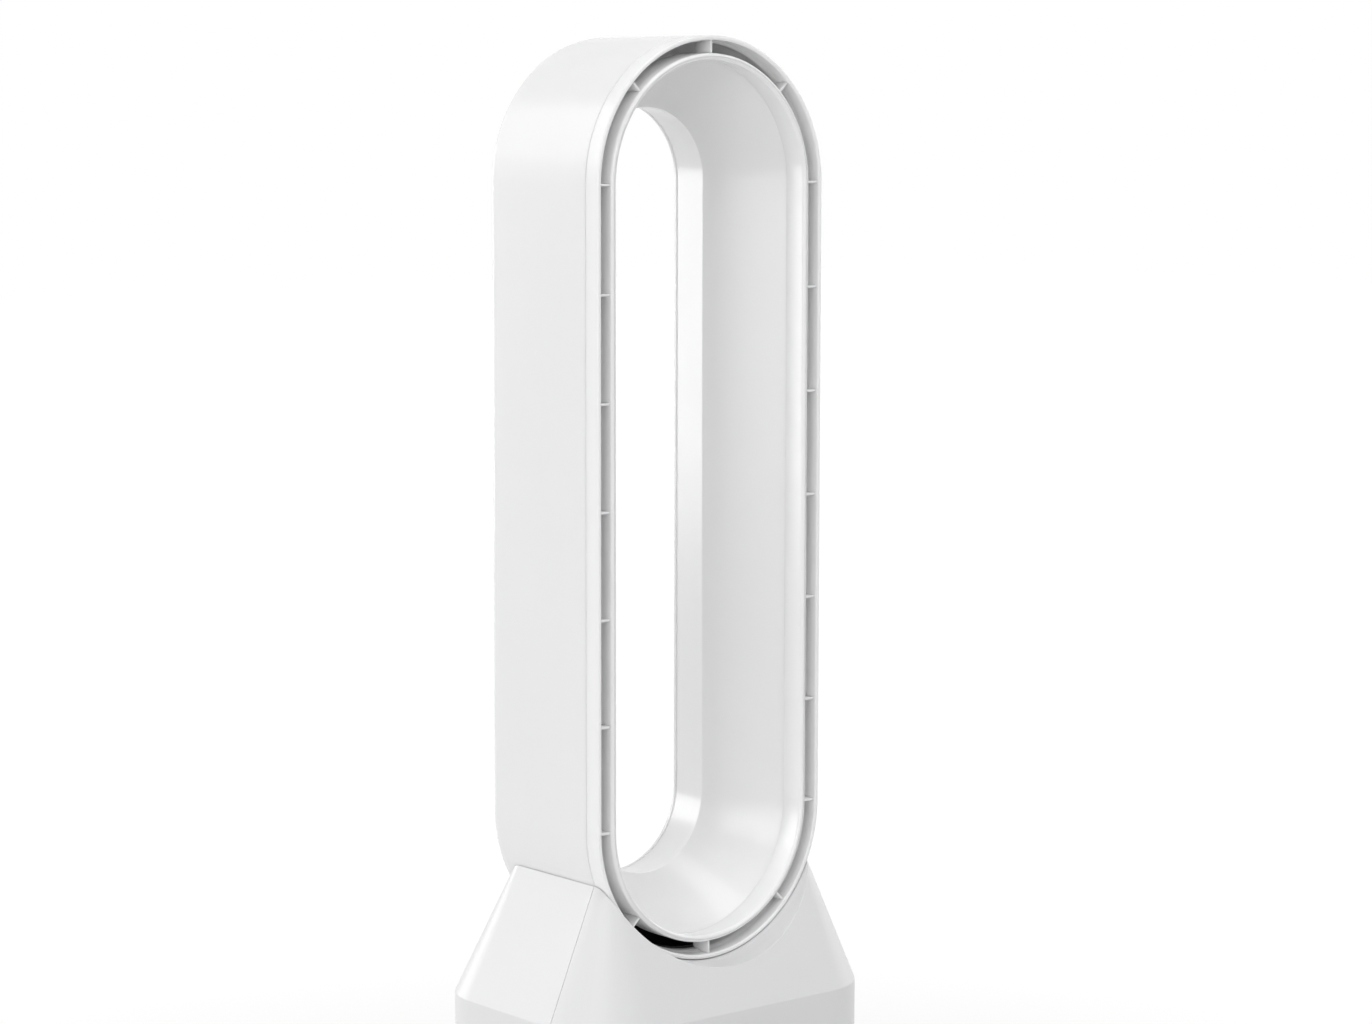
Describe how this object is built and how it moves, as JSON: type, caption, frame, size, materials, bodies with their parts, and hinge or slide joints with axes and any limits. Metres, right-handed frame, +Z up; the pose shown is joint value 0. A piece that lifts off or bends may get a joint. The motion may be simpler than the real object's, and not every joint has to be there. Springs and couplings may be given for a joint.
{
  "type": "bladeless fan",
  "caption": "Tall bladeless tower fan: an oval air loop with a ribbed front slot stands in a scooped, tapered base that sweeps on a flat foot and holds a blower and controls.",
  "frame": {"origin": "middle of the underside, on the surface that the rubber feet stand on", "axes": "+Z up, -Y towards the front of the fan, +X to the right of someone who faces its front"},
  "size_m": [0.284, 0.211, 0.9039],
  "materials": {
    "shell_white": "glossy white moulded ABS",
    "base_white": "satin white moulded ABS",
    "grille_white": "fine grained white ABS",
    "collar_black": "matt black ABS",
    "button_grey": "satin light grey ABS",
    "window_smoke": "smoked clear acrylic",
    "display_black": "black moulded module",
    "receiver_black": "dark red tinted epoxy",
    "board_green": "green solder mask",
    "board_parts": "moulded components",
    "screw_steel": "zinc plated steel",
    "shaft_steel": "ground steel",
    "ballast_steel": "black painted steel plate",
    "inner_black": "black glass-filled plastic",
    "gland_black": "black soft plastic",
    "rubber_black": "black rubber",
    "foam_grey": "closed-cell foam",
    "gear_white": "natural acetal",
    "spindle_white": "natural acetal",
    "motor_metal": "pressed steel can",
    "blower_grey": "grey moulded plastic",
    "impeller_grey": "grey moulded plastic",
    "bush_bronze": "sintered bronze",
    "stator_iron": "stacked steel laminations",
    "coil_copper": "enamelled copper wire",
    "rotor_magnet": "sintered ferrite"
  },
  "bodies": {
    "foot": {"foot_shell": "base_white", "foot_bottom_plate": "inner_black", "rubber_feet": "rubber_black", "foot_screws": "screw_steel", "ballast_plate": "ballast_steel", "mains_inlet_gland": "gland_black", "spindle_post": "spindle_white", "spindle_screws": "screw_steel", "glide_pads": "gear_white", "sector_gear": "gear_white", "spindle_nut": "shaft_steel"},
    "tower": {"loop_outer_shell": "shell_white", "loop_front_bezel": "shell_white", "slot_ribs": "shell_white", "loop_inner_duct": "shell_white", "neck_collar": "collar_black", "loop_screws": "screw_steel", "base_front_cover": "base_white", "base_rear_cover": "base_white", "cover_screws": "screw_steel", "grille_left": "grille_white", "grille_right": "grille_white", "grille_rear": "grille_white", "display_window": "window_smoke", "digit_display": "display_black", "remote_receiver": "receiver_black", "control_board": "board_green", "push_switches": "display_black", "board_screws": "screw_steel", "turntable_plate": "inner_black", "sweep_motor": "motor_metal", "sweep_motor_screws": "screw_steel", "power_board": "board_green", "power_parts": "board_parts", "blower_mounts": "rubber_black", "blower_mount_screws": "screw_steel", "intake_bellmouth": "blower_grey", "blower_casing": "blower_grey", "motor_stator": "stator_iron", "motor_coils": "coil_copper", "lower_bearing_bush": "bush_bronze", "upper_bearing_bush": "bush_bronze", "motor_housing": "motor_metal", "motor_lid": "motor_metal", "diffuser": "blower_grey", "neck_gasket": "foam_grey", "neck_duct": "blower_grey"},
    "sweep_drive": {"sweep_pinion": "gear_white", "sweep_shaft": "shaft_steel"},
    "rotor": {"impeller": "impeller_grey", "motor_shaft": "shaft_steel", "motor_rotor": "rotor_magnet"},
    "button_power": {"button_power": "button_grey"},
    "button_slower": {"button_slower": "button_grey"},
    "button_faster": {"button_faster": "button_grey"},
    "button_sweep": {"button_sweep": "button_grey"},
    "button_timer": {"button_timer": "button_grey"}
  },
  "joints": [
    {"name": "tower_sweep", "type": "hinge", "parent": "foot", "child": "tower", "pos_m": [0, 0, 0.0265], "axis": [0, 0, 1], "range_deg": [-40, 40]},
    {"name": "pinion_spin", "type": "hinge", "parent": "tower", "child": "sweep_drive", "pos_m": [0, 0.03915, 0.0339], "axis": [0, 0, 1], "range_deg": [-135, 135]},
    {"name": "impeller_spin", "type": "hinge", "parent": "tower", "child": "rotor", "pos_m": [0, 0, 0.0905], "axis": [0, 0, 1], "continuous": true},
    {"name": "button_power_press", "type": "slide", "parent": "tower", "child": "button_power", "axis": [0, 1, 0], "range_m": [0, 0.0008], "stiffness_N_per_m": 600, "springref_m": -0.0006},
    {"name": "button_slower_press", "type": "slide", "parent": "tower", "child": "button_slower", "axis": [0, 1, 0], "range_m": [0, 0.0008], "stiffness_N_per_m": 600, "springref_m": -0.0006},
    {"name": "button_faster_press", "type": "slide", "parent": "tower", "child": "button_faster", "axis": [0, 1, 0], "range_m": [0, 0.0008], "stiffness_N_per_m": 600, "springref_m": -0.0006},
    {"name": "button_sweep_press", "type": "slide", "parent": "tower", "child": "button_sweep", "axis": [0, 1, 0], "range_m": [0, 0.0008], "stiffness_N_per_m": 600, "springref_m": -0.0006},
    {"name": "button_timer_press", "type": "slide", "parent": "tower", "child": "button_timer", "axis": [0, 1, 0], "range_m": [0, 0.0008], "stiffness_N_per_m": 600, "springref_m": -0.0006}
  ],
  "couplings": [
    {"joint": "pinion_spin", "follows": "tower_sweep", "ratio": 3.3333}
  ]
}
